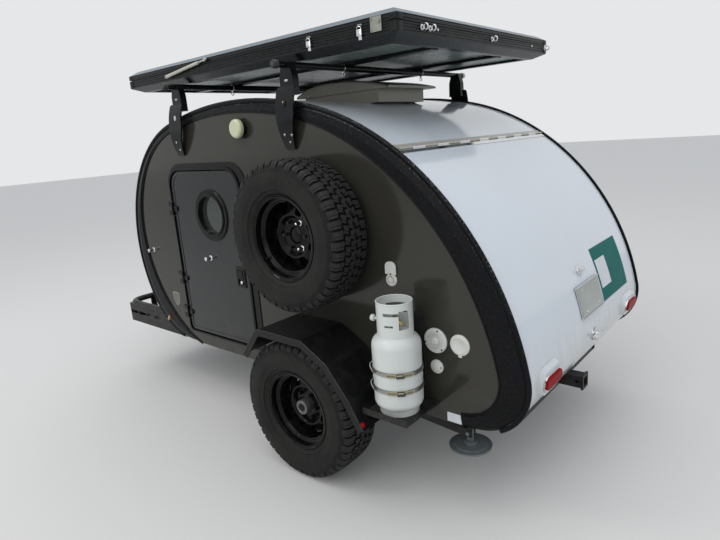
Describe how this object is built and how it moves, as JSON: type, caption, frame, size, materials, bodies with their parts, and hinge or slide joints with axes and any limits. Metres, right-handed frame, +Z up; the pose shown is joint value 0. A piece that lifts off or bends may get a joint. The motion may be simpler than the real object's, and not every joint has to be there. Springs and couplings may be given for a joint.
{
  "type": "teardrop trailer",
  "caption": "Teardrop camping trailer with side doors, rear galley hatch, wheels, side-mounted spare, front basket, roof rack and hard-shell roof tent.",
  "frame": {"origin": "on the ground, under the middle of the overall length and width", "axes": "+X forward to the coupler, +Y to the left side, +Z up"},
  "size_m": [4.1012, 2.16, 2.178],
  "materials": {
    "pearl_white": "gloss",
    "charcoal": "gloss",
    "band_black": "matte",
    "frame_black": "satin",
    "trim_black": "satin",
    "jack_zinc": "satin",
    "wheel_black": "gloss",
    "tyre_rubber": "matte",
    "hub_grey": "satin",
    "glass": "gloss",
    "lamp_cream": "gloss",
    "port_white": "satin",
    "red_lens": "gloss",
    "hinge_metal": "satin",
    "bottle_white": "satin",
    "tent_metal": "satin",
    "tent_black": "satin",
    "fan_smoke": "gloss",
    "birch": "satin",
    "foam": "matte",
    "chrome_bits": "polished"
  },
  "bodies": {
    "trailer": {"frame_rails": "frame_black", "crossmembers": "frame_black", "tongue_tube": "frame_black", "tongue_braces": "frame_black", "coupler": "frame_black", "jack_tube": "jack_zinc", "receiver_tube": "frame_black", "swing_arms": "frame_black", "floor_pan": "birch", "roof_shell": "pearl_white", "hatch_hinge": "hinge_metal", "galley": "birch", "mattress": "foam", "wall_fittings": "trim_black", "porch_lights": "lamp_cream", "wall_ports": "port_white", "spare_carrier": "frame_black", "propane_bottle": "bottle_white", "propane_tray": "frame_black", "roof_bars": "trim_black", "roof_feet": "trim_black", "tent_base": "tent_black", "tent_bedding": "foam", "roof_fan": "fan_smoke", "basket": "frame_black", "edge_bands": "band_black", "door_frames": "trim_black", "fenders": "frame_black", "spare_tyre": "tyre_rubber", "spare_rim": "wheel_black", "side_panel_left": "charcoal", "side_panel_right": "charcoal"},
    "wheel_left": {"tyre_left": "tyre_rubber", "rim_left": "wheel_black", "hub_left": "hub_grey"},
    "door_left": {"door_left": "charcoal", "window_ring_left": "trim_black", "window_glass_left": "glass", "door_hardware_left": "trim_black"},
    "stabiliser_leg_left": {"stabiliser_leg_left": "frame_black"},
    "stabiliser_foot_left": {"stabiliser_foot_left": "jack_zinc"},
    "strut_tube_left": {"strut_tube_left": "tent_black"},
    "strut_rod_left": {"strut_rod_left": "chrome_bits"},
    "wheel_right": {"tyre_right": "tyre_rubber", "rim_right": "wheel_black", "hub_right": "hub_grey"},
    "door_right": {"door_right": "charcoal", "window_ring_right": "trim_black", "window_glass_right": "glass", "door_hardware_right": "trim_black"},
    "stabiliser_leg_right": {"stabiliser_leg_right": "frame_black"},
    "stabiliser_foot_right": {"stabiliser_foot_right": "jack_zinc"},
    "strut_tube_right": {"strut_tube_right": "tent_black"},
    "strut_rod_right": {"strut_rod_right": "chrome_bits"},
    "hatch": {"hatch_shell": "pearl_white", "hatch_hardware": "hinge_metal", "tail_lights": "red_lens"},
    "jack_leg": {"jack_leg": "jack_zinc"},
    "tent_lid": {"tent_lid": "tent_metal"}
  },
  "joints": [
    {"name": "wheel_left_spin", "type": "hinge", "parent": "trailer", "child": "wheel_left", "pos_m": [-0.91, 0.9415, 0.362], "axis": [0, 1, 0], "continuous": true},
    {"name": "door_left_hinge", "type": "hinge", "parent": "trailer", "child": "door_left", "pos_m": [0.346, 0.799, 0.965], "axis": [0, 0, -1], "range_deg": [0, 167]},
    {"name": "stabiliser_left_swing", "type": "hinge", "parent": "trailer", "child": "stabiliser_leg_left", "pos_m": [-1.24, 0.69, 0.366], "axis": [0, -1, 0], "range_deg": [0, 33]},
    {"name": "stabiliser_foot_left_tilt", "type": "hinge", "parent": "stabiliser_leg_left", "child": "stabiliser_foot_left", "pos_m": [-1.7, 0.69, 0.33], "axis": [0, 1, 0], "range_deg": [0, 33]},
    {"name": "strut_left_turn", "type": "hinge", "parent": "trailer", "child": "strut_tube_left", "pos_m": [0.23, 0.776, 2.098], "axis": [0, 1, 0], "range_deg": [0, 60.6]},
    {"name": "strut_left_slide", "type": "slide", "parent": "strut_tube_left", "child": "strut_rod_left", "axis": [-0.9945, 0, 0.1049], "range_m": [0, 0.1823]},
    {"name": "wheel_right_spin", "type": "hinge", "parent": "trailer", "child": "wheel_right", "pos_m": [-0.91, -0.9415, 0.362], "axis": [0, 1, 0], "continuous": true},
    {"name": "door_right_hinge", "type": "hinge", "parent": "trailer", "child": "door_right", "pos_m": [0.346, -0.799, 0.965], "axis": [0, 0, 1], "range_deg": [0, 167]},
    {"name": "stabiliser_right_swing", "type": "hinge", "parent": "trailer", "child": "stabiliser_leg_right", "pos_m": [-1.24, -0.69, 0.366], "axis": [0, -1, 0], "range_deg": [0, 33]},
    {"name": "stabiliser_foot_right_tilt", "type": "hinge", "parent": "stabiliser_leg_right", "child": "stabiliser_foot_right", "pos_m": [-1.7, -0.69, 0.33], "axis": [0, 1, 0], "range_deg": [0, 33]},
    {"name": "strut_right_turn", "type": "hinge", "parent": "trailer", "child": "strut_tube_right", "pos_m": [0.23, -0.776, 2.098], "axis": [0, 1, 0], "range_deg": [0, 60.6]},
    {"name": "strut_right_slide", "type": "slide", "parent": "strut_tube_right", "child": "strut_rod_right", "axis": [-0.9945, 0, 0.1049], "range_m": [0, 0.1823]},
    {"name": "hatch_hinge", "type": "hinge", "parent": "trailer", "child": "hatch", "pos_m": [-1.43061, 0, 1.61547], "axis": [0, 1, 0], "range_deg": [0, 75]},
    {"name": "jack_slide", "type": "slide", "parent": "trailer", "child": "jack_leg", "axis": [0, 0, 1], "range_m": [0, 0.25]},
    {"name": "tent_lid_hinge", "type": "hinge", "parent": "trailer", "child": "tent_lid", "pos_m": [0.695, 0, 2.1225], "axis": [0, 1, 0], "range_deg": [0, 35]}
  ],
  "couplings": [
    {"joint": "stabiliser_foot_left_tilt", "follows": "stabiliser_left_swing", "ratio": 1},
    {"joint": "strut_left_turn", "follows": "tent_lid_hinge", "ratio": 1.7285},
    {"joint": "strut_left_slide", "follows": "tent_lid_hinge", "m_per_rad": 0.29763},
    {"joint": "stabiliser_foot_right_tilt", "follows": "stabiliser_right_swing", "ratio": 1},
    {"joint": "strut_right_turn", "follows": "tent_lid_hinge", "ratio": 1.7285},
    {"joint": "strut_right_slide", "follows": "tent_lid_hinge", "m_per_rad": 0.29763}
  ]
}
